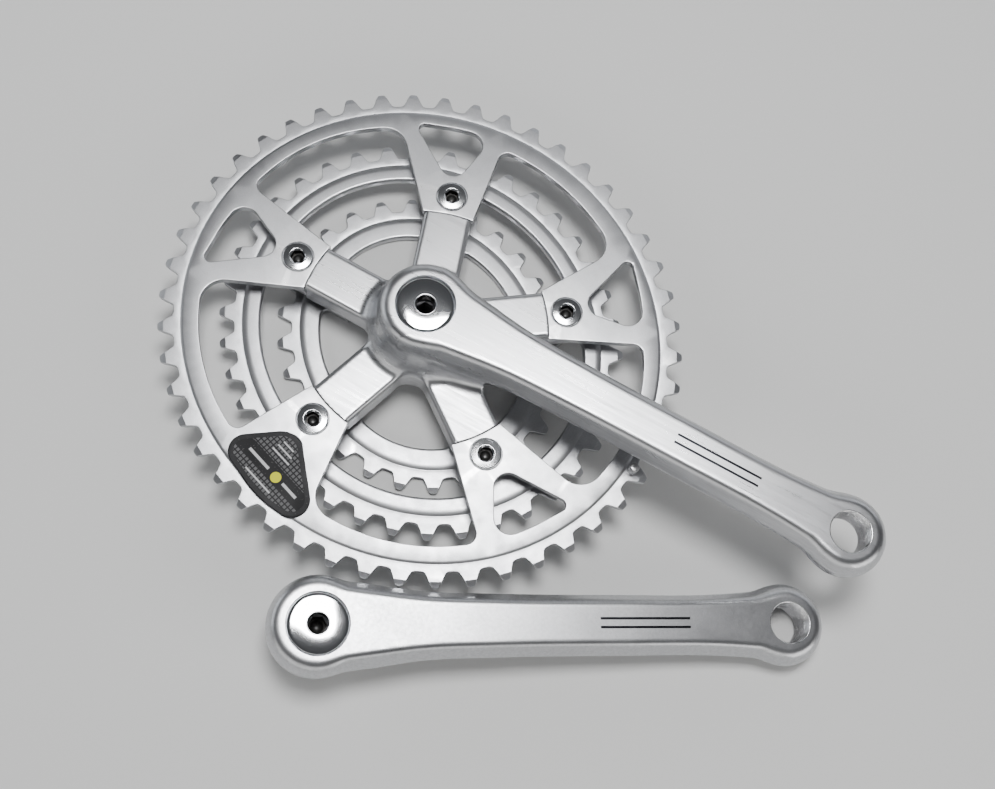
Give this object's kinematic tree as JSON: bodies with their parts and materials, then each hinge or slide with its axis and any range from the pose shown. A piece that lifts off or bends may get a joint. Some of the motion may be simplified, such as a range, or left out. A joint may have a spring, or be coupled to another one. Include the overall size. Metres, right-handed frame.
{
  "type": "bicycle crankset",
  "caption": "Bicycle crankset: a right arm with a forged spider and stacked oval chainrings, self-extracting crank bolts, and the loose matching left arm.",
  "frame": {"origin": "centre of the right arm's square socket mouth, on the crank axis, at the back face of the boss", "axes": "+Z along the crank axis, outward and up as it lies; +X along the right arm towards its pedal thread"},
  "size_m": [0.2863, 0.2305, 0.0452],
  "materials": {
    "forged_alloy": "brushed and polished forging",
    "ring_alloy": "satin anodised",
    "chrome_plate": "bright plated",
    "bolt_steel": "plated steel",
    "plain_steel": "turned steel",
    "washer_plastic": "moulded",
    "badge_plate": "printed plate"
  },
  "bodies": {
    "drive_side": {"chain_guard_pin": "plain_steel", "chainring_badge": "badge_plate", "chainring_bolt_1": "bolt_steel", "chainring_bolt_2": "bolt_steel", "chainring_bolt_3": "bolt_steel", "chainring_bolt_4": "bolt_steel", "chainring_bolt_5": "bolt_steel", "chainring_nut_1": "plain_steel", "chainring_nut_2": "plain_steel", "chainring_nut_3": "plain_steel", "chainring_nut_4": "plain_steel", "chainring_nut_5": "plain_steel", "inner_chainring": "ring_alloy", "inner_ring_bolt_1": "plain_steel", "inner_ring_bolt_2": "plain_steel", "inner_ring_bolt_3": "plain_steel", "inner_ring_bolt_4": "plain_steel", "inner_ring_bolt_5": "plain_steel", "inner_ring_spacer_1": "ring_alloy", "inner_ring_spacer_2": "ring_alloy", "inner_ring_spacer_3": "ring_alloy", "inner_ring_spacer_4": "ring_alloy", "inner_ring_spacer_5": "ring_alloy", "middle_chainring": "ring_alloy", "outer_chainring": "ring_alloy", "right_crank_arm": "forged_alloy", "right_extractor_cap": "chrome_plate"},
    "right_float": {"right_thrust_washer": "washer_plastic"},
    "right_bolt": {"right_crank_bolt": "bolt_steel"},
    "left_side": {"left_crank_arm": "forged_alloy", "left_extractor_cap": "chrome_plate"},
    "left_float": {"left_thrust_washer": "washer_plastic"},
    "left_bolt": {"left_crank_bolt": "bolt_steel"}
  },
  "joints": [
    {"name": "right_bolt_float", "type": "slide", "parent": "drive_side", "child": "right_float", "axis": [0, 0, 1], "range_m": [0, 0.0011]},
    {"name": "right_bolt_turn", "type": "hinge", "parent": "right_float", "child": "right_bolt", "pos_m": [0, 0, 0.022], "axis": [0, 0, 1], "continuous": true},
    {"name": "left_arm_lift", "type": "slide", "parent": "drive_side", "child": "left_side", "axis": [0, 0, 1], "range_m": [0, 0.12]},
    {"name": "left_bolt_float", "type": "slide", "parent": "left_side", "child": "left_float", "axis": [0.0867, 0.0497, 0.995], "range_m": [0, 0.0011]},
    {"name": "left_bolt_turn", "type": "hinge", "parent": "left_float", "child": "left_bolt", "pos_m": [0.02284, -0.11603, 0.01594], "axis": [0.0867, 0.0497, 0.995], "continuous": true}
  ]
}
